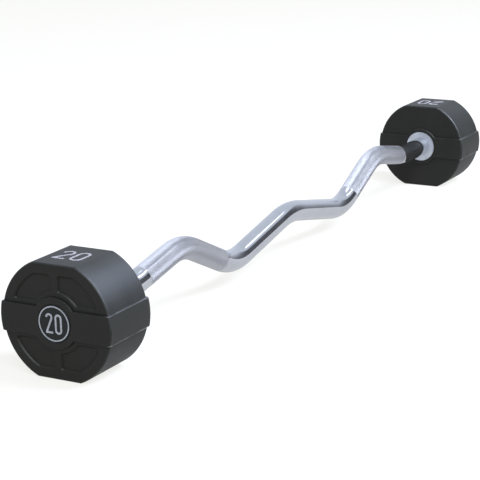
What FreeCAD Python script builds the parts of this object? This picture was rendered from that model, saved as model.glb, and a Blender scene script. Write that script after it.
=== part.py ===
import FreeCAD, Part
import math
import os
from FreeCAD import Vector

# Fixed-weight EZ curl bar, in millimetres.
# X runs along the bar, Z is up, and the origin is on the floor under the middle of the bar.

# Bar: the runs of one half, from the middle out to the face of the head, and the heights of
# the bends above the axis of the heads.
bar_d = 30.0
middle_run = 169.4
inner_grip_run = 124.4
outer_grip_run = 116.9
stub_run = 77.1
peak_z = 22.8
trough_z = -35.6
middle_z = -0.8
bend_r = 93.0
middle_bend_r = 144.0
bar_end_chamfer = 1.5
bar_end_gap = 1.0

# Head: a short drum with a flat above and below, a raised band round its middle and a boss on each face.
head_w = 78.8
head_d = 147.4
flat_depth = 5.9
head_edge_r = 3.0
band_h = 35.0
band_proud = 3.0
band_side_proud = 1.5
band_corner_r = 3.5
band_edge_r = 1.2
boss_d = 61.2
boss_edge_r = 1.5
boss_hole_edge_r = 0.8

# Pockets in the outer face, one in each quarter, and the ribs left round them.
pocket_rim_w = 14.0
pocket_boss_rim_w = 6.6
pocket_band_rim_w = 5.7
pocket_rib_w = 11.2
pocket_depth = 2.0
pocket_corner_r = 2.0
pocket_slope = 1.6

# Core: the steel weight that the jacket is cast round.
jacket_wall = 10.0
jacket_end_wall = 5.0
core_edge = 2.0
bond_gap = 0.1

# Collar: the steel disc on the bar that the core is clamped against.
collar_d = 50.0
collar_below_boss = 1.2
collar_edge = 0.8
collar_gap = 0.2

# Key between the bar and the core.
key_w = 8.0
key_h = 7.0
key_in_bar = 4.0
key_from_core_face = 8.0
key_from_bar_end = 9.3
key_top_gap = 0.2

# End bolt and its washers, in a counterbore of the core.
counterbore_d = 42.0
counterbore_spare = 0.5
bolt_d = 16.0
bolt_l = 45.0
bolt_head_across_flats = 24.0
bolt_head_h = 9.0
bolt_tip_chamfer = 1.5
bolt_hole_spare = 5.0
end_washer_side_gap = 2.0
end_washer_t = 5.0
spring_washer_d = 27.0
spring_washer_t = 4.0
spring_washer_split = 2.0
washer_hole_gap = 0.4

# Badge cap in the outer boss, with a ring and a number let into its face.
cap_d = 44.0
cap_t = 2.5
cap_proud = 0.3
cap_edge_r = 0.4
cap_lip_w = 4.0
plug_l = 4.0
cap_gap = 0.2
ring_inset = 1.3
ring_stroke = 1.5
badge_number_inset = 3.2
badge_digit_w = 9.4
badge_digit_stroke = 2.3
badge_digit_gap = 3.0

# Number let into the upper flat.
top_digit_h = 32.2
top_digit_w = 16.6
top_digit_stroke = 3.4
top_digit_gap = 4.2

# Inlays, the clearance of pieces that fit closely, and how near two lengths are to count as equal.
inlay_depth = 1.0
inlay_proud = 0.2
inlay_gap = 0.05
fit_gap = 0.05
near = 1e-6

# Sizes that follow from the ones above.
bar_r = bar_d / 2
head_across_flats = head_d - 2 * flat_depth
axis_z = head_across_flats / 2
pocket_d = head_d - 2 * pocket_rim_w
pocket_across_flats = head_across_flats - 2 * pocket_rim_w
pocket_inner_d = boss_d + 2 * pocket_boss_rim_w
pocket_from_middle = band_h / 2 + pocket_band_rim_w
collar_hole_d = collar_d + 2 * collar_gap
counterbore_depth = end_washer_t + spring_washer_t + bolt_head_h + counterbore_spare
end_washer_d = counterbore_d - 2 * end_washer_side_gap
plug_d = cap_d - 2 * cap_lip_w
cap_hole_d = cap_d + 2 * cap_gap
ring_d = cap_d - 2 * ring_inset
badge_number_r = ring_d / 2 - ring_stroke - badge_number_inset
badge_digit_h = 2 * math.sqrt(badge_number_r**2 - (badge_digit_w + badge_digit_gap / 2) ** 2)

# Places along X at the right end.
trough_x = middle_run
peak_x = trough_x + inner_grip_run
stub_bend_x = peak_x + outer_grip_run
head_in = stub_bend_x + stub_run
head_out = head_in + head_w
boss_in = head_in - band_proud
boss_out = head_out + band_proud
core_in = head_in + jacket_end_wall
core_out = head_out - jacket_end_wall
counterbore_floor = core_out - counterbore_depth
bar_end = counterbore_floor - bar_end_gap
spring_washer_in = counterbore_floor + end_washer_t
bolt_head_in = spring_washer_in + spring_washer_t
bolt_tip = bolt_head_in - bolt_l
key_in = core_in + key_from_core_face
key_out = bar_end - key_from_bar_end
cap_face = boss_out + cap_proud
cap_seat = cap_face - cap_t

outward = Vector(1, 0, 0)


def cylinder(diameter, x0, x1):
    return Part.makeCylinder(diameter / 2, x1 - x0, Vector(x0, 0, 0), outward)


def box(x0, x1, y0, y1, z0, z1):
    return Part.makeBox(x1 - x0, y1 - y0, z1 - z0, Vector(x0, y0, z0))


def drum(diameter, height, x0, x1):
    # A cylinder along X cut by two level planes that are height apart.
    r = diameter / 2
    h = height / 2
    flat = math.sqrt(r * r - h * h)
    corners = [Vector(x0, flat, h), Vector(x0, -flat, h), Vector(x0, -flat, -h), Vector(x0, flat, -h)]
    outline = [
        Part.LineSegment(corners[0], corners[1]),
        Part.Arc(corners[1], Vector(x0, -r, 0), corners[2]),
        Part.LineSegment(corners[2], corners[3]),
        Part.Arc(corners[3], Vector(x0, r, 0), corners[0]),
    ]
    return Part.Face(Part.Wire([line.toShape() for line in outline])).extrude(outward * (x1 - x0))


def edges_at(shape, x):
    return [edge for edge in shape.Edges if all(abs(end.X - x) < near for end in edge.Vertexes)]


def edges_at_height(shape, z):
    return [edge for edge in shape.Edges if all(abs(end.Z - z) < near for end in edge.Vertexes)]


def round_edge_at(shape, x, diameter):
    return [
        edge for edge in edges_at(shape, x)
        if isinstance(edge.Curve, Part.Circle) and abs(2 * edge.Curve.Radius - diameter) < near
    ]


def edges_along_x(shape):
    return [
        edge for edge in shape.Edges
        if isinstance(edge.Curve, Part.Line) and abs(edge.Curve.Direction.x) > 1 - near
    ]


def bent_wire(corners, radii):
    # Straight runs between the corners, each corner rounded by a tangent arc.
    runs = []
    start = corners[0]
    for before, corner, after, radius in zip(corners, corners[1:], corners[2:], radii):
        back = (before - corner).normalize()
        ahead = (after - corner).normalize()
        half = back.getAngle(ahead) / 2
        reach = radius / math.tan(half)
        inside = radius / math.sin(half) - radius
        crown = corner + (back + ahead).normalize() * inside
        arc_start = corner + back * reach
        arc_end = corner + ahead * reach
        runs.append(Part.LineSegment(start, arc_start).toShape())
        runs.append(Part.Arc(arc_start, crown, arc_end).toShape())
        start = arc_end
    runs.append(Part.LineSegment(start, corners[-1]).toShape())
    return Part.Wire(runs)


def at_both_ends(shape):
    # The two ends of the bar match by a half turn about the vertical.
    turned = shape.copy()
    turned.rotate(Vector(), Vector(0, 0, 1), 180)
    return [shape, turned]


def curl_bar():
    half = [
        Vector(-bar_end, 0, 0),
        Vector(-stub_bend_x, 0, 0),
        Vector(-peak_x, 0, peak_z),
        Vector(-trough_x, 0, trough_z),
    ]
    other_half = [Vector(-point.x, 0, point.z) for point in reversed(half)]
    radii = [bend_r, bend_r, bend_r, middle_bend_r, bend_r, bend_r, bend_r]
    path = bent_wire(half + [Vector(0, 0, middle_z)] + other_half, radii)
    section = Part.Wire(Part.makeCircle(bar_r, half[0], outward))
    bar = path.makePipeShell([section], True, False)
    bar = bar.makeChamfer(bar_end_chamfer, edges_at(bar, bar_end) + edges_at(bar, -bar_end))
    bolt_hole = cylinder(bolt_d + 2 * fit_gap, bolt_tip - bolt_hole_spare, bar_end)
    keyway = box(
        key_in - fit_gap, key_out + fit_gap,
        -key_w / 2 - fit_gap, key_w / 2 + fit_gap,
        bar_r - key_in_bar, bar_r - key_in_bar + key_h,
    )
    for cut in at_both_ends(bolt_hole) + at_both_ends(keyway):
        bar = bar.cut(cut)
    return bar


def core_blank(grow):
    blank = drum(
        head_d - 2 * jacket_wall + 2 * grow,
        head_across_flats - 2 * jacket_wall + 2 * grow,
        core_in - grow, core_out + grow,
    )
    return blank.makeChamfer(core_edge, edges_at(blank, core_in - grow) + edges_at(blank, core_out + grow))


def core():
    keyway = box(
        core_in, key_out + fit_gap,
        -key_w / 2 - fit_gap, key_w / 2 + fit_gap,
        0, bar_r - key_in_bar + key_h + key_top_gap,
    )
    weight = core_blank(0).cut(cylinder(bar_d + 2 * fit_gap, core_in, core_out))
    return weight.cut(cylinder(counterbore_d, counterbore_floor, core_out)).cut(keyway)


def band():
    # The raised band, with the boss of each face standing level with it.
    strap_d = head_d + 2 * band_side_proud
    strap = drum(strap_d, band_h, boss_in, boss_out)
    corners = round_edge_at(strap, boss_in, strap_d) + round_edge_at(strap, boss_out, strap_d)
    strap = strap.makeFillet(band_corner_r, corners)
    brinks = edges_at_height(strap, band_h / 2) + edges_at_height(strap, -band_h / 2)
    strap = strap.makeFillet(band_edge_r, brinks)
    boss = cylinder(boss_d, boss_in, boss_out)
    boss = boss.makeFillet(boss_edge_r, edges_at(boss, boss_in) + edges_at(boss, boss_out))
    return strap.fuse(boss).removeSplitter()


def pockets():
    floor = head_out - pocket_depth
    quarters = drum(pocket_d, pocket_across_flats, floor, boss_out)
    quarters = quarters.cut(cylinder(pocket_inner_d, floor, boss_out))
    middle = pocket_from_middle
    quarters = quarters.cut(box(floor, boss_out, -pocket_d, pocket_d, -middle, middle))
    rib = pocket_rib_w / 2
    quarters = quarters.cut(box(floor, boss_out, -rib, rib, -pocket_d, pocket_d))
    return [pocket.makeFillet(pocket_corner_r, edges_along_x(pocket)) for pocket in quarters.Solids]


def jacket():
    shell = drum(head_d, head_across_flats, head_in, head_out)
    shell = shell.makeFillet(head_edge_r, edges_at(shell, head_in) + edges_at(shell, head_out))
    for pocket in pockets():
        shell = shell.cut(pocket)
        rim = [edge for edge in edges_at(shell, head_out) if pocket.distToShape(edge)[0] < near]
        shell = shell.makeChamfer(pocket_slope, rim)
    shell = shell.fuse(band())
    shell = shell.cut(core_blank(bond_gap))
    shell = shell.cut(cylinder(collar_hole_d, boss_in, core_in))
    shell = shell.cut(cylinder(plug_d + 2 * cap_gap, core_out, boss_out))
    shell = shell.cut(cylinder(cap_hole_d, cap_seat, boss_out))
    hole_edges = round_edge_at(shell, boss_in, collar_hole_d) + round_edge_at(shell, boss_out, cap_hole_d)
    shell = shell.makeFillet(boss_hole_edge_r, hole_edges)
    return shell.cut(on_top(number_faces(*top_number, inlay_gap), -inlay_depth, 0))


def collar():
    disc = cylinder(collar_d, boss_in + collar_below_boss, core_in)
    disc = disc.makeChamfer(collar_edge, edges_at(disc, boss_in + collar_below_boss))
    return disc.cut(cylinder(bar_d + 2 * fit_gap, boss_in, core_in))


def key():
    z0 = bar_r - key_in_bar
    return box(key_in, key_out, -key_w / 2, key_w / 2, z0, z0 + key_h)


def end_washer():
    disc = cylinder(end_washer_d, counterbore_floor, spring_washer_in)
    return disc.cut(cylinder(bolt_d + 2 * washer_hole_gap, counterbore_floor, spring_washer_in))


def spring_washer():
    ring = cylinder(spring_washer_d, spring_washer_in, bolt_head_in)
    ring = ring.cut(cylinder(bolt_d + 2 * washer_hole_gap, spring_washer_in, bolt_head_in))
    split = spring_washer_split / 2
    return ring.cut(box(spring_washer_in, bolt_head_in, -split, split, 0, spring_washer_d))


def end_bolt():
    corner_r = bolt_head_across_flats / math.sqrt(3)
    hexagon = [
        Vector(bolt_head_in, corner_r * math.cos(turn), corner_r * math.sin(turn))
        for turn in (math.radians(60 * corner) for corner in range(7))
    ]
    head = Part.Face(Part.makePolygon(hexagon)).extrude(outward * bolt_head_h)
    shank = cylinder(bolt_d, bolt_tip, bolt_head_in)
    shank = shank.makeChamfer(bolt_tip_chamfer, edges_at(shank, bolt_tip))
    return head.fuse(shank).removeSplitter()


def digit_two(left, height, width, stroke, grow):
    # A half-round bowl, a slanting stroke that is tangent to it, and a level foot.
    w = width + 2 * grow
    h = height + 2 * grow
    t = stroke + 2 * grow
    x0 = left - grow
    x1 = x0 + w
    foot = -h / 2
    bowl = Vector(x0 + w / 2, h / 2 - w / 2, 0)
    r_out = w / 2
    r_in = r_out - t
    heel = Vector(x0, foot + t, 0)
    to_bowl = bowl - heel
    slant = math.atan2(to_bowl.y, to_bowl.x) - math.asin(r_in / to_bowl.Length)
    along = Vector(math.cos(slant), math.sin(slant), 0)
    across = Vector(along.y, -along.x, 0)
    out_end = bowl + across * r_out
    in_end = bowl + across * r_in
    toe = out_end - along * ((out_end.y - heel.y) / along.y)
    up = Vector(0, 1, 0)
    lines = [
        Part.Arc(Vector(x0, bowl.y, 0), bowl + up * r_out, out_end),
        Part.LineSegment(out_end, toe),
        Part.LineSegment(toe, Vector(x1, heel.y, 0)),
        Part.LineSegment(Vector(x1, heel.y, 0), Vector(x1, foot, 0)),
        Part.LineSegment(Vector(x1, foot, 0), Vector(x0, foot, 0)),
        Part.LineSegment(Vector(x0, foot, 0), heel),
        Part.LineSegment(heel, in_end),
        Part.Arc(in_end, bowl + up * r_in, Vector(x0 + t, bowl.y, 0)),
        Part.LineSegment(Vector(x0 + t, bowl.y, 0), Vector(x0, bowl.y, 0)),
    ]
    return Part.Face(Part.Wire([line.toShape() for line in lines]))


def long_round(middle, width, height):
    # A face with straight sides and half-round ends.
    r = width / 2
    side = height / 2 - r
    corners = [Vector(middle + x, y, 0) for x, y in ((r, -side), (r, side), (-r, side), (-r, -side))]
    lines = [
        Part.LineSegment(corners[0], corners[1]),
        Part.Arc(corners[1], Vector(middle, height / 2, 0), corners[2]),
        Part.LineSegment(corners[2], corners[3]),
        Part.Arc(corners[3], Vector(middle, -height / 2, 0), corners[0]),
    ]
    return Part.Face(Part.Wire([line.toShape() for line in lines]))


def digit_zero(left, height, width, stroke, grow):
    middle = left + width / 2
    outside = long_round(middle, width + 2 * grow, height + 2 * grow)
    inside = 2 * (stroke + grow)
    return outside.cut(long_round(middle, width - inside, height - inside))


def number_faces(height, width, stroke, gap, grow):
    # The number 20, centred on the origin of the XY plane, each outline moved out by grow.
    return [
        digit_two(-gap / 2 - width, height, width, stroke, grow),
        digit_zero(gap / 2, height, width, stroke, grow),
    ]


badge_number = (badge_digit_h, badge_digit_w, badge_digit_stroke, badge_digit_gap)
top_number = (top_digit_h, top_digit_w, top_digit_stroke, top_digit_gap)


def raised(faces, low, high, place):
    solids = []
    for face in faces:
        solid = face.extrude(Vector(0, 0, high - low))
        solid.translate(Vector(0, 0, low))
        solid.Placement = place.multiply(solid.Placement)
        solids.append(solid)
    return Part.makeCompound(solids)


def on_top(faces, low, high):
    # Read from the outer end of the head: the tops of the digits point to the middle of the bar.
    turn = FreeCAD.Rotation(Vector(0, 1, 0), Vector(-1, 0, 0), Vector(0, 0, 1), "ZXY")
    return raised(faces, low, high, FreeCAD.Placement(Vector(head_in + head_w / 2, 0, axis_z), turn))


def on_cap(faces, low, high):
    turn = FreeCAD.Rotation(Vector(0, 1, 0), Vector(0, 0, 1), Vector(1, 0, 0), "ZXY")
    return raised(faces, low, high, FreeCAD.Placement(Vector(cap_face, 0, 0), turn))


def badge_ring(grow, x0, x1):
    ring = cylinder(ring_d + 2 * grow, x0, x1)
    return ring.cut(cylinder(ring_d - 2 * ring_stroke - 2 * grow, x0, x1))


def badge_cap():
    disc = cylinder(cap_d, cap_seat, cap_face)
    disc = disc.makeFillet(cap_edge_r, edges_at(disc, cap_face))
    cap = disc.fuse(cylinder(plug_d, cap_seat - plug_l, cap_seat)).removeSplitter()
    cap = cap.cut(badge_ring(inlay_gap, cap_face - inlay_depth, cap_face))
    return cap.cut(on_cap(number_faces(*badge_number, inlay_gap), -inlay_depth, 0))


head_pieces = {
    "jacket": jacket(),
    "core": core(),
    "collar": collar(),
    "key": key(),
    "end_washer": end_washer(),
    "spring_washer": spring_washer(),
    "end_bolt": end_bolt(),
    "badge_cap": badge_cap(),
    "badge_ring": badge_ring(0, cap_face - inlay_depth, cap_face + inlay_proud),
    "badge_digits": on_cap(number_faces(*badge_number, 0), -inlay_depth, inlay_proud),
    "top_digits": on_top(number_faces(*top_number, 0), -inlay_depth, inlay_proud),
}

nodes = {"curl_bar": curl_bar()}
for name, piece in head_pieces.items():
    nodes["right_" + name], nodes["left_" + name] = at_both_ends(piece)

os.makedirs("parts", exist_ok=True)
for name, shape in nodes.items():
    shape.translate(Vector(0, 0, axis_z))
    shape.exportStep("parts/" + name + ".step")
    state = "valid" if shape.isValid() else "not valid"
    print(name, state, "solids", len(shape.Solids), "volume", round(shape.Volume))
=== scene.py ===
import math

import bmesh
import bpy
import numpy as np
from mathutils import Matrix, Vector


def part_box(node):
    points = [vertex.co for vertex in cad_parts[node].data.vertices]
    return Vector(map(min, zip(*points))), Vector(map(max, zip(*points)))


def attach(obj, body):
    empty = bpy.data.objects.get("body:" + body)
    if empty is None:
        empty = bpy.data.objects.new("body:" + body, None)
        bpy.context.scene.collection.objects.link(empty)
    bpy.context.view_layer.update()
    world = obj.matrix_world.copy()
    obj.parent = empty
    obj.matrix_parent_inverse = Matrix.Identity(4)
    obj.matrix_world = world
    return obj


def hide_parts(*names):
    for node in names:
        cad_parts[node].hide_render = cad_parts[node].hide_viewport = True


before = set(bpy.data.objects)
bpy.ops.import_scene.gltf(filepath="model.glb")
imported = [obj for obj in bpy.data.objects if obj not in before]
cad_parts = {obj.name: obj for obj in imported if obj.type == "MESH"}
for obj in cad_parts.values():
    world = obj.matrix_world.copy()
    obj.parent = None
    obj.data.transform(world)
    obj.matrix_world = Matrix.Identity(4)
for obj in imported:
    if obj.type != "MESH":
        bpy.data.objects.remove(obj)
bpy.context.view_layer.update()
scene = bpy.context.scene
ends = ("left", "right")

collarLow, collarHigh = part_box("right_collar")
axisZ = (collarLow.z + collarHigh.z) / 2   # height of the bar's ends, which is the axis of both heads
print("frame: %d nodes, axis of the heads %.4f m above the floor" % (len(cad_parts), axisZ))


# Small helpers for node trees: a number, colour or vector is set on the socket, a socket is linked to it.

def put(tree, kind, settings=None, **inputs):
    node = tree.nodes.new(kind)
    for name, value in (settings or {}).items():
        setattr(node, name, value)
    for name, value in inputs.items():
        feed(tree, node, name, value)
    return node


def feed(tree, node, name, value):
    # in3 is the fourth input, other names are labels with _ for a space
    key = int(name[2:]) if name.startswith("in") and name[2:].isdigit() else name.replace("_", " ")
    socket = node.inputs[key]
    if isinstance(value, bpy.types.NodeSocket):
        tree.links.new(value, socket)
    else:
        socket.default_value = value


def calc(tree, operation, a, b=0.0):
    return put(tree, "ShaderNodeMath", {"operation": operation}, in0=a, in1=b).outputs[0]


def between(tree, value, low, high, fromLow=0.0, fromHigh=1.0):
    # low at fromLow, high at fromHigh, even between them and held beyond them
    return put(tree, "ShaderNodeMapRange", in0=value, in1=fromLow, in2=fromHigh, in3=low, in4=high).outputs[0]


def fade(tree, value, low, high):
    # nought at low, one at high, eased at both
    return put(tree, "ShaderNodeMapRange", {"interpolation_type": "SMOOTHSTEP"}, in0=value, in1=low,
               in2=high).outputs[0]


def blend(tree, share, a, b):
    return put(tree, "ShaderNodeMix", {"data_type": "RGBA"}, in0=share, in6=a, in7=b).outputs[2]


def newGroup(name, inputs, outputs):
    group = bpy.data.node_groups.new(name, "ShaderNodeTree")
    for side, sockets in (("INPUT", inputs), ("OUTPUT", outputs)):
        for label, kind in sockets.items():
            group.interface.new_socket(label, in_out=side, socket_type="NodeSocket" + kind)
    return group, group.nodes.new("NodeGroupInput").outputs, group.nodes.new("NodeGroupOutput").inputs


def useGroup(tree, group, **inputs):
    return put(tree, "ShaderNodeGroup", {"node_tree": group}, **inputs).outputs


def newMaterial(name, **shader):
    material = bpy.data.materials.new(name)
    material.use_nodes = True
    tree = material.node_tree
    bsdf = tree.nodes["Principled BSDF"]
    for label, value in shader.items():
        feed(tree, bsdf, label, value)
    return material, tree, bsdf


# Effects for the finishes, each a node group.

mottle = {"detail": 4.0, "roughness": 0.6, "low": 0.35, "high": 0.65}


def makeMottle():
    # two colours mixed by soft cloudy noise
    group, given, out = newGroup(
        "cloudyColour", {"Vector": "Vector", "Scale": "Float", "Dark": "Color", "Light": "Color"},
        {"Color": "Color", "Mask": "Float"})
    noise = put(group, "ShaderNodeTexNoise", Vector=given["Vector"], Scale=given["Scale"],
                Detail=mottle["detail"], Roughness=mottle["roughness"])
    mask = between(group, noise.outputs["Fac"], 0.0, 1.0, mottle["low"], mottle["high"])
    group.links.new(blend(group, mask, given["Dark"], given["Light"]), out["Color"])
    group.links.new(mask, out["Mask"])
    return group


pebbles = {"coarseDetail": 2.0, "fineDetail": 1.0, "finer": 3.7, "fineShare": 0.4}


def makeGrain():
    # height of a fine pebbled skin, one coarse and one fine noise
    group, given, out = newGroup("fineGrain", {"Vector": "Vector", "Scale": "Float"}, {"Height": "Float"})
    coarse = put(group, "ShaderNodeTexNoise", Vector=given["Vector"], Scale=given["Scale"],
                 Detail=pebbles["coarseDetail"])
    fine = put(group, "ShaderNodeTexNoise", Vector=given["Vector"], Detail=pebbles["fineDetail"],
               Scale=calc(group, "MULTIPLY", given["Scale"], pebbles["finer"]))
    mix = put(group, "ShaderNodeMix", in0=pebbles["fineShare"], in2=coarse.outputs["Fac"],
              in3=fine.outputs["Fac"])
    group.links.new(mix.outputs[0], out["Height"])
    return group


def headPlace(tree, point, axisHeight):
    # a point as seen from the heads: distance along the bar, height over the axis, radius about the axis
    split = put(tree, "ShaderNodeSeparateXYZ", Vector=point).outputs
    lift = calc(tree, "SUBTRACT", split["Z"], axisHeight)
    across = put(tree, "ShaderNodeCombineXYZ", X=split["Y"], Y=lift).outputs[0]
    radius = put(tree, "ShaderNodeVectorMath", {"operation": "LENGTH"}, in0=across).outputs["Value"]
    return split["X"], lift, radius


turning = {"scale": 1.0, "detail": 2.0}


def makeLatheLines():
    # height of turning marks: rings about the axis of the bar, each with a slightly different depth
    group, given, out = newGroup(
        "latheLines", {"Vector": "Vector", "Axis height": "Float", "Rings per metre": "Float"},
        {"Height": "Float"})
    _, _, radius = headPlace(group, given["Vector"], given["Axis height"])
    lines = put(group, "ShaderNodeTexNoise", {"noise_dimensions": "1D"}, Scale=turning["scale"],
                Detail=turning["detail"], W=calc(group, "MULTIPLY", radius, given["Rings per metre"]))
    group.links.new(lines.outputs["Fac"], out["Height"])
    return group


# metres off an edge: the rubbing and painted highlight start at Wide and are full at Full; the patch values
# are of the noise over it
wearAndHighlightReach = {"upperWide": 0.0013, "upperFull": 0.0003, "lowerWide": 0.0016, "lowerFull": 0.0004,
        "rimWide": 0.0028, "rimFull": 0.0008, "sideFade": 0.0015,
        "cornerFar": 0.022, "cornerNear": 0.003, "cornerLeast": 0.4,
        "patches": 75.0, "patchDetail": 4.0, "patchRoughness": 0.65, "patchLow": 0.36, "patchHigh": 0.60}


def makeWearAndHighlight():
    # patchy rubbing and a painted highlight along the long edges of the band and along the rims of both
    # faces: near to an edge height or a face plane, far enough from the axis, strongest at the corners of the
    # band, and broken up by noise
    group, given, out = newGroup(
        "wornAndHighlitEdges",
        {"Vector": "Vector", "Axis height": "Float", "Band half": "Float", "Face in": "Float",
         "Face out": "Float", "Rim radius": "Float", "Upper share": "Float", "Lower share": "Float",
         "Rim share": "Float"},
        {"Mask": "Float"})
    along, lift, radius = headPlace(group, given["Vector"], given["Axis height"])

    def off(value, label):
        return calc(group, "ABSOLUTE", calc(group, "SUBTRACT", value, given[label]))

    def edge(distance, kind, label):
        near = fade(group, distance, wearAndHighlightReach[kind + "Wide"], wearAndHighlightReach[kind + "Full"])
        return calc(group, "MULTIPLY", near, given[label])

    onSide = fade(group, calc(group, "SUBTRACT", radius, given["Rim radius"]), 0.0, wearAndHighlightReach["sideFade"])
    fromMiddle = calc(group, "ABSOLUTE", along)   # the same for both heads
    offFace = calc(group, "MINIMUM", off(fromMiddle, "Face in"), off(fromMiddle, "Face out"))
    offLower = calc(group, "ABSOLUTE", calc(group, "ADD", lift, given["Band half"]))
    upperEdge = edge(off(lift, "Band half"), "upper", "Upper share")
    lowerEdge = edge(offLower, "lower", "Lower share")
    corner = between(group, offFace, wearAndHighlightReach["cornerLeast"], 1.0, wearAndHighlightReach["cornerFar"], wearAndHighlightReach["cornerNear"])
    bandEdge = calc(group, "MULTIPLY", calc(group, "MAXIMUM", upperEdge, lowerEdge), corner)
    rubbedAndHighlit = calc(group, "MAXIMUM", bandEdge, edge(offFace, "rim", "Rim share"))
    noise = put(group, "ShaderNodeTexNoise", Vector=given["Vector"], Scale=wearAndHighlightReach["patches"],
                Detail=wearAndHighlightReach["patchDetail"], Roughness=wearAndHighlightReach["patchRoughness"])
    broken = fade(group, noise.outputs["Fac"], wearAndHighlightReach["patchLow"], wearAndHighlightReach["patchHigh"])
    mask = calc(group, "MULTIPLY", calc(group, "MULTIPLY", rubbedAndHighlit, onSide), broken)
    group.links.new(mask, out["Mask"])
    return group


cloudyColour = makeMottle()
fineGrain = makeGrain()
latheLines = makeLatheLines()
wornAndHighlitEdges = makeWearAndHighlight()
print("effects: %d node groups for the finishes" % len(bpy.data.node_groups))


def cloudOn(tree, bsdf, values):
    # cloudy colour on a shader, with its roughness following the same clouds
    point = put(tree, "ShaderNodeTexCoord").outputs["Object"]
    cloud = useGroup(tree, cloudyColour, Vector=point, Scale=values["cloud"], Dark=values["dark"],
                     Light=values["light"])
    feed(tree, bsdf, "Base Color", cloud["Color"])
    feed(tree, bsdf, "Roughness", between(tree, cloud["Mask"], values["roughLow"], values["roughHigh"]))
    return point, cloud


def bumpOn(tree, bsdf, height, values):
    bump = put(tree, "ShaderNodeBump", Height=height, Strength=values["bump"], Distance=values["bumpDepth"])
    feed(tree, bsdf, "Normal", bump.outputs["Normal"])


# Finishes of the heads.

mouldedFinishes = {
    "castUrethane": {"dark": (0.0050, 0.0050, 0.0030, 1), "light": (0.0078, 0.0079, 0.0052, 1), "cloud": 26.0,
                     "roughLow": 0.46, "roughHigh": 0.54, "specular": 0.34,
                     "grain": 850.0, "bump": 0.05, "bumpDepth": 0.0004},
    "badgePlastic": {"dark": (0.006, 0.0075, 0.0070, 1), "light": (0.0085, 0.0105, 0.0100, 1), "cloud": 60.0,
                     "roughLow": 0.45, "roughHigh": 0.55, "specular": 0.30,
                     "grain": 2200.0, "bump": 0.06, "bumpDepth": 0.0002},
    "badgeMarking": {"dark": (0.29, 0.295, 0.315, 1), "light": (0.37, 0.375, 0.40, 1), "cloud": 140.0,
                     "roughLow": 0.45, "roughHigh": 0.6, "specular": 0.35,
                     "grain": 1800.0, "bump": 0.08, "bumpDepth": 0.0002},
    "topMarking": {"dark": (0.165, 0.150, 0.150, 1), "light": (0.22, 0.20, 0.20, 1), "cloud": 90.0,
                   "roughLow": 0.5, "roughHigh": 0.65, "specular": 0.35,
                   "grain": 1800.0, "bump": 0.08, "bumpDepth": 0.0002},
}

# bandHalf and bandProud are the band's own sizes in metres, and only what is past rimRadius gets the rubbing
# and painted highlight
jacketWearAndHighlight = {"colour": (0.32, 0.32, 0.31, 1), "upper": 0.12, "lower": 0.9, "rim": 0.04,
               "bandHalf": 0.0175, "bandProud": 0.003, "rimRadius": 0.0715}


def wearAndHighlightColour(tree, point, colour):
    # a colour with pale rubbing and a painted highlight laid over it at the jacket's edges
    jacketLow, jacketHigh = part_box("right_jacket")
    wearAndHighlight = useGroup(tree, wornAndHighlitEdges, Vector=point, Axis_height=axisZ, Band_half=jacketWearAndHighlight["bandHalf"],
                     Face_in=jacketLow.x + jacketWearAndHighlight["bandProud"],
                     Face_out=jacketHigh.x - jacketWearAndHighlight["bandProud"],
                     Rim_radius=jacketWearAndHighlight["rimRadius"], Upper_share=jacketWearAndHighlight["upper"],
                     Lower_share=jacketWearAndHighlight["lower"], Rim_share=jacketWearAndHighlight["rim"])
    return blend(tree, wearAndHighlight["Mask"], colour, jacketWearAndHighlight["colour"])


def mouldedSkin(name, withWearAndHighlight=False):
    values = mouldedFinishes[name]
    material, tree, bsdf = newMaterial(name, Specular_IOR_Level=values["specular"])
    point, cloud = cloudOn(tree, bsdf, values)
    if withWearAndHighlight:
        feed(tree, bsdf, "Base Color", wearAndHighlightColour(tree, point, cloud["Color"]))
    grain = useGroup(tree, fineGrain, Vector=point, Scale=values["grain"])
    bumpOn(tree, bsdf, grain["Height"], values)
    return material


turnedFinishes = {
    "turnedCollar": {"dark": (0.55, 0.585, 0.64, 1), "light": (0.64, 0.675, 0.735, 1), "cloud": 70.0,
                     "roughLow": 0.40, "roughHigh": 0.48, "rings": 2600.0, "bump": 0.10, "bumpDepth": 0.0002},
    "bareCore": {"dark": (0.30, 0.30, 0.31, 1), "light": (0.42, 0.42, 0.43, 1), "cloud": 40.0,
                 "roughLow": 0.38, "roughHigh": 0.55, "rings": 1400.0, "bump": 0.20, "bumpDepth": 0.0002},
    "zincFastener": {"dark": (0.46, 0.47, 0.50, 1), "light": (0.60, 0.61, 0.63, 1), "cloud": 160.0,
                     "roughLow": 0.28, "roughHigh": 0.42, "rings": 3200.0, "bump": 0.08, "bumpDepth": 0.0002},
}


def turnedSteel(name):
    values = turnedFinishes[name]
    material, tree, bsdf = newMaterial(name, Metallic=1.0)
    point, _ = cloudOn(tree, bsdf, values)
    lines = useGroup(tree, latheLines, Vector=point, Axis_height=axisZ, Rings_per_metre=values["rings"])
    bumpOn(tree, bsdf, lines["Height"], values)
    return material


def dress(material, *pieces):
    for name in (end + "_" + piece for end in ends for piece in pieces):
        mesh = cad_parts[name].data
        mesh.materials.clear()
        mesh.materials.append(material)


# the jackets carry pale rubbing and a painted highlight along their band edges and rims
dress(mouldedSkin("castUrethane", withWearAndHighlight=True), "jacket")
dress(mouldedSkin("badgePlastic"), "badge_cap")
dress(mouldedSkin("badgeMarking"), "badge_ring", "badge_digits")
dress(mouldedSkin("topMarking"), "top_digits")
dress(turnedSteel("turnedCollar"), "collar")
dress(turnedSteel("bareCore"), "core")
dress(turnedSteel("zincFastener"), "key", "end_washer", "spring_washer", "end_bolt")
print("heads: finishes on every node but the bar, %d nodes" % (len(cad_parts) - 1))


# The bar: rings carried along a path of straight runs and arcs, knurled over both grips.
# Sizes are in metres, and heights in the path are measured from the axis of the heads.

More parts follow.
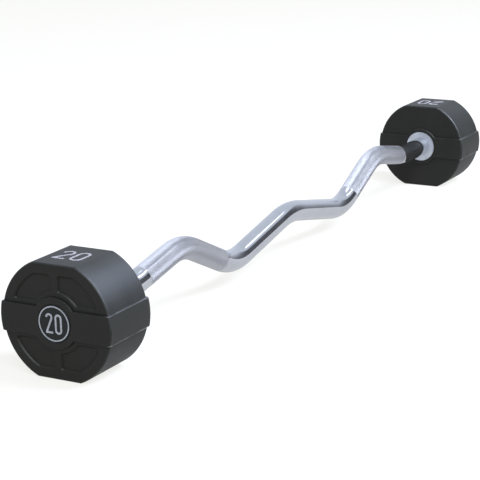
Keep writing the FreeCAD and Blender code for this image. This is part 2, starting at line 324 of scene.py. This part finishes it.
bar = {"radius": 0.015, "middleRun": 0.1694, "innerRun": 0.1244, "outerRun": 0.1169,
       "peakZ": 0.0228, "troughZ": -0.0356, "middleZ": -0.0008, "bendRadius": 0.093, "middleBend": 0.144,
       "endChamfer": 0.0015, "holeRadius": 0.008, "holeDepth": 0.042,
       "gripIn": 0.200, "gripOut": 0.3885, "diamondsRound": 70, "helixDeg": 18.0, "grooveDepth": 0.00028,
       "flatShare": 0.45, "smoothStep": 0.006, "pathSamples": 20001, "weld": 2e-6}


def barPath():
    # corners of the route in the plane of the bends, each rounded by an arc that touches both runs;
    # gives for every stretch its start, its heading, its curvature and its length
    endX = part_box("curl_bar")[1].x
    x1 = bar["middleRun"]
    x2 = x1 + bar["innerRun"]
    x3 = x2 + bar["outerRun"]
    half = [(x1, bar["troughZ"]), (x2, bar["peakZ"]), (x3, 0.0), (endX, 0.0)]
    corners = np.array([(-x, z) for x, z in reversed(half)] + [(0.0, bar["middleZ"])] + half)
    radii = np.full(len(corners) - 2, bar["bendRadius"])
    radii[len(radii) // 2] = bar["middleBend"]
    run = np.diff(corners, axis=0)
    heading = np.arctan2(run[:, 1], run[:, 0])
    turn = np.diff(heading)
    reach = radii * np.tan(np.abs(turn) / 2)
    trimStart = np.concatenate([[0.0], reach])
    trimEnd = np.concatenate([reach, [0.0]])
    count = 2 * len(run) - 1   # runs and arcs by turns
    start = np.zeros((count, 2))
    aim = np.zeros(count)
    curve = np.zeros(count)
    length = np.zeros(count)
    unit = np.stack([np.cos(heading), np.sin(heading)], axis=1)
    start[0::2] = corners[:-1] + unit * trimStart[:, None]
    start[1::2] = corners[1:-1] - unit[:-1] * reach[:, None]
    aim[0::2] = heading
    aim[1::2] = heading[:-1]
    curve[1::2] = np.sign(turn) / radii
    length[0::2] = np.hypot(run[:, 0], run[:, 1]) - trimStart - trimEnd
    length[1::2] = radii * np.abs(turn)
    return start, aim, curve, length


def alongPath(path, s):
    # point and heading at distance s along the path: a line where the curvature is nought, else an arc
    start, aim, curve, length = path
    first = np.concatenate([[0.0], np.cumsum(length)[:-1]])
    part = np.clip(np.searchsorted(first, s, side="right") - 1, 0, len(length) - 1)
    t = s - first[part]
    k = curve[part]
    a0 = aim[part]
    a1 = a0 + k * t
    safe = np.where(k == 0, 1.0, k)
    dx = np.where(k == 0, t * np.cos(a0), (np.sin(a1) - np.sin(a0)) / safe)
    dz = np.where(k == 0, t * np.sin(a0), (np.cos(a0) - np.cos(a1)) / safe)
    return start[part, 0] + dx, start[part, 1] + dz, a1


def onBar(path, s, phi, r):
    # the point at angle phi round the bar, r from its centre line: phi starts at +y, a quarter turn on is up
    x, z, a = alongPath(path, s)
    up = r * np.sin(phi)
    return np.stack([x - up * np.sin(a), r * np.cos(phi) + 0 * x, axisZ + z + up * np.cos(a)], axis=-1)


def distanceAt(path, x):
    # distance along the path at which it reaches x, read off a fine walk along it
    s = np.linspace(0.0, path[3].sum(), bar["pathSamples"])
    return float(np.interp(x, alongPath(path, s)[0], s))


def ringBand(path, s, r, count):
    # a grid of rings: row i has its own place s and radius r, column j its angle
    phi = np.arange(count) * 2 * np.pi / count
    points = onBar(path, s[:, None], phi[None, :], r[:, None]).reshape(-1, 3)
    rows, columns = np.meshgrid(np.arange(len(s) - 1), np.arange(count), indexing="ij")
    a = rows * count + columns
    b = rows * count + (columns + 1) % count
    return points, np.stack([a, b, b + count, a + count], axis=-1).reshape(-1, 4)


def knurlBand(path, s0, s1, count):
    # two crossing sets of helical grooves leave diamonds; on a grid of half steps the groove crossings
    # are where row plus column is even, the diamonds stand on the odd ones, each with a smaller flat top;
    # the first and last row lie on the smooth bar, so the grooves run out there
    radius = bar["radius"]
    halfAcross = 2 * math.pi * radius / count
    halfAlong = halfAcross / math.tan(math.radians(bar["helixDeg"]))
    steps = 2 * round((s1 - s0) / halfAlong / 2)
    stepS = (s1 - s0) / steps
    stepPhi = 2 * np.pi / count
    rows, columns = np.meshgrid(np.arange(steps + 1), np.arange(count), indexing="ij")
    inside = (rows > 0) & (rows < steps)
    depth = np.where(inside, bar["grooveDepth"], 0.0)
    base = onBar(path, s0 + rows * stepS, columns * stepPhi, radius - depth).reshape(-1, 3)
    odd = ((rows + columns) % 2 == 1) & inside
    i, j = rows[odd], columns[odd]
    corners = np.array([(-1, 0), (0, 1), (1, 0), (0, -1)])
    topCorners = bar["flatShare"] * corners
    tops = onBar(path, s0 + (i[:, None] + topCorners[:, 0]) * stepS,
                 (j[:, None] + topCorners[:, 1]) * stepPhi, radius).reshape(-1, 3)
    below = (i[:, None] + corners[:, 0]) * count + (j[:, None] + corners[:, 1]) % count
    above = len(base) + np.arange(len(tops)).reshape(-1, 4)
    nextOne = [1, 2, 3, 0]
    flanks = np.stack([below, below[:, nextOne], above[:, nextOne], above], axis=-1).reshape(-1, 4)
    column = np.arange(count)
    first = column[(column + 1) % 2 == 0]
    last = column[(column + steps - 1) % 2 == 0]

    def fan(row, tipRow, tip):
        # two triangles from a ring on the smooth bar down to each groove crossing beside it
        left, middle, right = (row * count + (tip + k) % count for k in (-1, 0, 1))
        point = tipRow * count + tip
        return np.concatenate([np.stack([left, middle, point], 1), np.stack([middle, right, point], 1)])

    runOut = np.concatenate([fan(0, 1, first), fan(steps, steps - 1, last)[:, ::-1]])
    return np.concatenate([base, tops]), [(above, "top"), (flanks, "flank"), (runOut, "flank")]


def buildMesh(name, points, faceSets):
    mesh = bpy.data.meshes.new(name)
    corners = np.concatenate([f.ravel() for f in faceSets]).astype(np.int32)
    sizes = np.concatenate([np.full(len(f), f.shape[1]) for f in faceSets])
    mesh.vertices.add(len(points))
    mesh.vertices.foreach_set("co", points.astype(np.float32).ravel())
    mesh.loops.add(len(corners))
    mesh.loops.foreach_set("vertex_index", corners)
    mesh.polygons.add(len(sizes))
    mesh.polygons.foreach_set("loop_start", np.concatenate([[0], np.cumsum(sizes)[:-1]]).astype(np.int32))
    mesh.update(calc_edges=True)
    mesh.validate()
    piece = bpy.data.objects.new(name, mesh)
    scene.collection.objects.link(piece)
    return piece


def barBands():
    # the bar in five bands that meet ring to ring: two stubs with a bolt hole each, the middle and two grips;
    # each band is its points and its sets of faces, and each set has its kind
    path = barPath()
    total = path[3].sum()
    count = 2 * bar["diamondsRound"]
    radius, hole = bar["radius"], bar["holeRadius"]
    depth, chamfer = bar["holeDepth"], bar["endChamfer"]
    grips = [distanceAt(path, x) for x in (-bar["gripOut"], -bar["gripIn"], bar["gripIn"], bar["gripOut"])]
    endS = np.array([depth, depth, 0.0, 0.0])   # bolt hole, end face and chamfer, from inside out
    endR = np.array([0.0, hole, hole, radius - chamfer])
    endFaces = len(endS) * count

    def stations(s0, s1):
        s = np.linspace(s0, s1, round((s1 - s0) / bar["smoothStep"]))
        return s, np.full(len(s), radius)

    s, r = stations(chamfer, grips[0])
    points, faces = ringBand(path, np.concatenate([endS, s]), np.concatenate([endR, r]), count)
    leftStub = points, [(faces[:endFaces], "end"), (faces[endFaces:], "smooth")]
    s, r = stations(grips[3], total - chamfer)
    points, faces = ringBand(path, np.concatenate([s, total - endS[::-1]]),
                             np.concatenate([r, endR[::-1]]), count)
    rightStub = points, [(faces[:-endFaces], "smooth"), (faces[-endFaces:], "end")]
    points, faces = ringBand(path, *stations(grips[1], grips[2]), count)
    middle = points, [(faces, "smooth")]
    leftGrip = knurlBand(path, *grips[:2], count)
    rightGrip = knurlBand(path, *grips[2:], count)
    return leftStub, middle, rightStub, leftGrip, rightGrip


def barSurface():
    # the bands put in one mesh, their meeting rings welded
    bands = barBands()
    offset = np.cumsum([0] + [len(points) for points, _ in bands])
    sets = [(f + o, kind) for (_, faces), o in zip(bands, offset) for f, kind in faces]
    piece = buildMesh("curlBarChrome", np.concatenate([points for points, _ in bands]), [f for f, _ in sets])
    kinds = np.concatenate([np.full(len(f), kind) for f, kind in sets])
    finish = np.select([kinds == "flank", kinds == "top"], [1, 2], 0)   # places in chromeFinishes
    piece.data.polygons.foreach_set("use_smooth", kinds == "smooth")
    piece.data.polygons.foreach_set("material_index", finish.astype(np.int32))
    weld = bmesh.new()
    weld.from_mesh(piece.data)
    bmesh.ops.remove_doubles(weld, verts=weld.verts, dist=bar["weld"])
    weld.to_mesh(piece.data)
    weld.free()
    return piece


chromeFinishes = {
    "mirrorChrome": {"dark": (0.52, 0.53, 0.555, 1), "light": (0.55, 0.56, 0.585, 1), "cloud": 35.0,
                     "roughLow": 0.05, "roughHigh": 0.10, "metalLow": 0.95, "metalHigh": 0.985},
    # the knurl flanks are a little darker than the tops and the smooth bar
    "knurlFlanks": {"dark": (0.485, 0.49, 0.515, 1), "light": (0.515, 0.52, 0.545, 1), "cloud": 60.0,
                    "roughLow": 0.42, "roughHigh": 0.46, "metalLow": 0.99, "metalHigh": 1.0},
    "knurlTops": {"dark": (0.525, 0.53, 0.555, 1), "light": (0.555, 0.56, 0.585, 1), "cloud": 60.0,
                  "roughLow": 0.13, "roughHigh": 0.17, "metalLow": 0.98, "metalHigh": 1.0},
}


def chromePlate(name):
    # plated steel with a thin film from hands and dust, which takes a little of the metal's share
    values = chromeFinishes[name]
    material, tree, bsdf = newMaterial(name)
    _, cloud = cloudOn(tree, bsdf, values)
    feed(tree, bsdf, "Metallic", between(tree, cloud["Mask"], values["metalHigh"], values["metalLow"]))
    return material


barPiece = barSurface()
for name in chromeFinishes:
    barPiece.data.materials.append(chromePlate(name))
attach(barPiece, "root")
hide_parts("curl_bar")
print("bar: %d faces" % len(barPiece.data.polygons))


# Floor, light and camera.

floorPaper = {"size": 30.0, "colour": (0.115, 0.110, 0.105, 1), "rough": 0.8, "specular": 0.1,
              "glowColour": (1.0, 1.0, 0.96, 1), "glow": 0.47, "glowSeen": 0.80}


def paleFloor():
    # lit paper that glows more to the camera than it does on the object
    half = floorPaper["size"] / 2
    corners = np.array([(-half, -half, 0), (half, -half, 0), (half, half, 0), (-half, half, 0)])
    piece = buildMesh("paleFloor", corners, [np.array([[0, 1, 2, 3]])])
    material, tree, bsdf = newMaterial("floorPaper", Base_Color=floorPaper["colour"],
                                       Roughness=floorPaper["rough"],
                                       Specular_IOR_Level=floorPaper["specular"],
                                       Emission_Color=floorPaper["glowColour"])
    seen = put(tree, "ShaderNodeLightPath").outputs["Is Camera Ray"]
    feed(tree, bsdf, "Emission Strength", between(tree, seen, floorPaper["glow"], floorPaper["glowSeen"]))
    piece.data.materials.append(material)


studio = {"pale": (0.80, 0.87, 1.0, 1), "half": (0.50, 0.53, 0.58, 1), "dark": (0.09, 0.095, 0.11, 1),
          "backdrop": (0.90, 0.90, 0.89, 1),   # what the camera sees of the room beyond the floor
          "paleAzimuth": 130.0, "paleFull": 40.0, "paleGone": 78.0,
          "darkAzimuth": 5.0, "darkFull": 48.0, "darkGone": 84.0, "darkTop": 33.0, "darkTopFull": 25.0}


def studioWorld():
    # a half lit room: pale toward paleAzimuth and all round above darkTop, dark below it toward darkAzimuth;
    # an azimuth of 0 is -y and one of 90 is +x
    world = bpy.data.worlds.new("softStudio")
    scene.world = world
    world.use_nodes = True
    tree = world.node_tree
    direction = put(tree, "ShaderNodeTexCoord").outputs["Generated"]
    height = put(tree, "ShaderNodeSeparateXYZ", Vector=direction).outputs["Z"]
    level = put(tree, "ShaderNodeVectorMath", {"operation": "MULTIPLY"}, in0=direction, in1=(1, 1, 0))
    level = put(tree, "ShaderNodeVectorMath", {"operation": "NORMALIZE"}, in0=level.outputs[0])

    def toward(side):
        azimuth, gone, full = (math.radians(studio[side + key]) for key in ("Azimuth", "Gone", "Full"))
        facing = put(tree, "ShaderNodeVectorMath", {"operation": "DOT_PRODUCT"}, in0=level.outputs[0],
                     in1=(math.sin(azimuth), -math.cos(azimuth), 0))
        return fade(tree, facing.outputs["Value"], math.cos(gone), math.cos(full))

    low = fade(tree, height, math.sin(math.radians(studio["darkTop"])),
               math.sin(math.radians(studio["darkTopFull"])))
    shade = calc(tree, "MULTIPLY", toward("dark"), low)
    pale = calc(tree, "MAXIMUM", toward("pale"), calc(tree, "SUBTRACT", 1.0, low))
    room = blend(tree, shade, blend(tree, pale, studio["half"], studio["pale"]), studio["dark"])
    seen = put(tree, "ShaderNodeLightPath").outputs["Is Camera Ray"]
    feed(tree, tree.nodes["Background"], "Color", blend(tree, seen, room, studio["backdrop"]))


softBoxes = {   # a box with "bar" True lights the bar alone, one with False is flagged off the bar
    "sideBox": {"place": (2.68, -1.68, 3.40), "size": (1.3, 0.6), "radiance": 3.0,
                "colour": (0.90, 0.96, 1.08)},
    "windowBox": {"place": (0.43, -1.50, 1.85), "size": (1.35, 1.35), "radiance": 31.0,
                  "colour": (0.80, 0.91, 1.19), "bar": False},
    "gripBox": {"place": (0.43, -1.50, 1.85), "size": (1.35, 1.35), "radiance": 3.8,
                "colour": (0.90, 0.95, 1.13), "bar": True},
    "topBox": {"place": (1.20, 0.60, 4.50), "size": (2.4, 2.4), "radiance": 2.2,
               "colour": (0.92, 0.98, 1.08), "bar": True},
    "overheadBox": {"place": (-4.70, -4.30, 6.40), "size": (4.5, 3.2), "radiance": 14.0,
                    "colour": (0.92, 0.97, 1.03)},
}


def softBox(name):
    # an even panel turned to the origin; its power is its radiance times pi times its area
    values = softBoxes[name]
    light = bpy.data.lights.new(name, "AREA")
    light.shape = "RECTANGLE"
    light.size, light.size_y = values["size"]
    light.energy = values["radiance"] * math.pi * light.size * light.size_y
    light.color = values["colour"]
    lamp = bpy.data.objects.new(name, light)
    scene.collection.objects.link(lamp)
    lamp.location = values["place"]
    lamp.rotation_euler = Vector(values["place"]).to_track_quat("Z", "Y").to_euler()
    if "bar" in values:
        flag = bpy.data.collections.new(name + "Flag")
        flag.objects.link(barPiece)
        flag.collection_objects[0].light_linking.link_state = "INCLUDE" if values["bar"] else "EXCLUDE"
        lamp.light_linking.receiver_collection = flag


shot = {"eye": (-1.9003, -0.9872, 0.6026), "azimuth": 1.0592, "elevation": 0.2633, "roll": -0.023,
        "focalPixels": 1549.85, "framePixels": 480, "sensor": 36.0}


def photoCamera():
    # looks along azimuth from +y toward +x, down by elevation, then rolled about that line, all in radians
    camera = bpy.data.objects.new("camera", bpy.data.cameras.new("camera"))
    scene.collection.objects.link(camera)
    camera.data.sensor_width = shot["sensor"]
    camera.data.lens = shot["focalPixels"] * shot["sensor"] / shot["framePixels"]
    a, e, roll = shot["azimuth"], shot["elevation"], shot["roll"]
    right = Vector((math.cos(a), -math.sin(a), 0))
    ahead = Vector((math.sin(a) * math.cos(e), math.cos(a) * math.cos(e), -math.sin(e)))
    down = ahead.cross(right)
    sideways = math.cos(roll) * right - math.sin(roll) * down
    upward = -(math.sin(roll) * right + math.cos(roll) * down)
    turn = Matrix((sideways, upward, -ahead)).transposed().to_4x4()
    camera.matrix_world = Matrix.Translation(shot["eye"]) @ turn
    scene.camera = camera


paleFloor()
studioWorld()
for name in softBoxes:
    softBox(name)
photoCamera()
scene.view_settings.view_transform = "Standard"
print("stage: floor, studio light and camera")
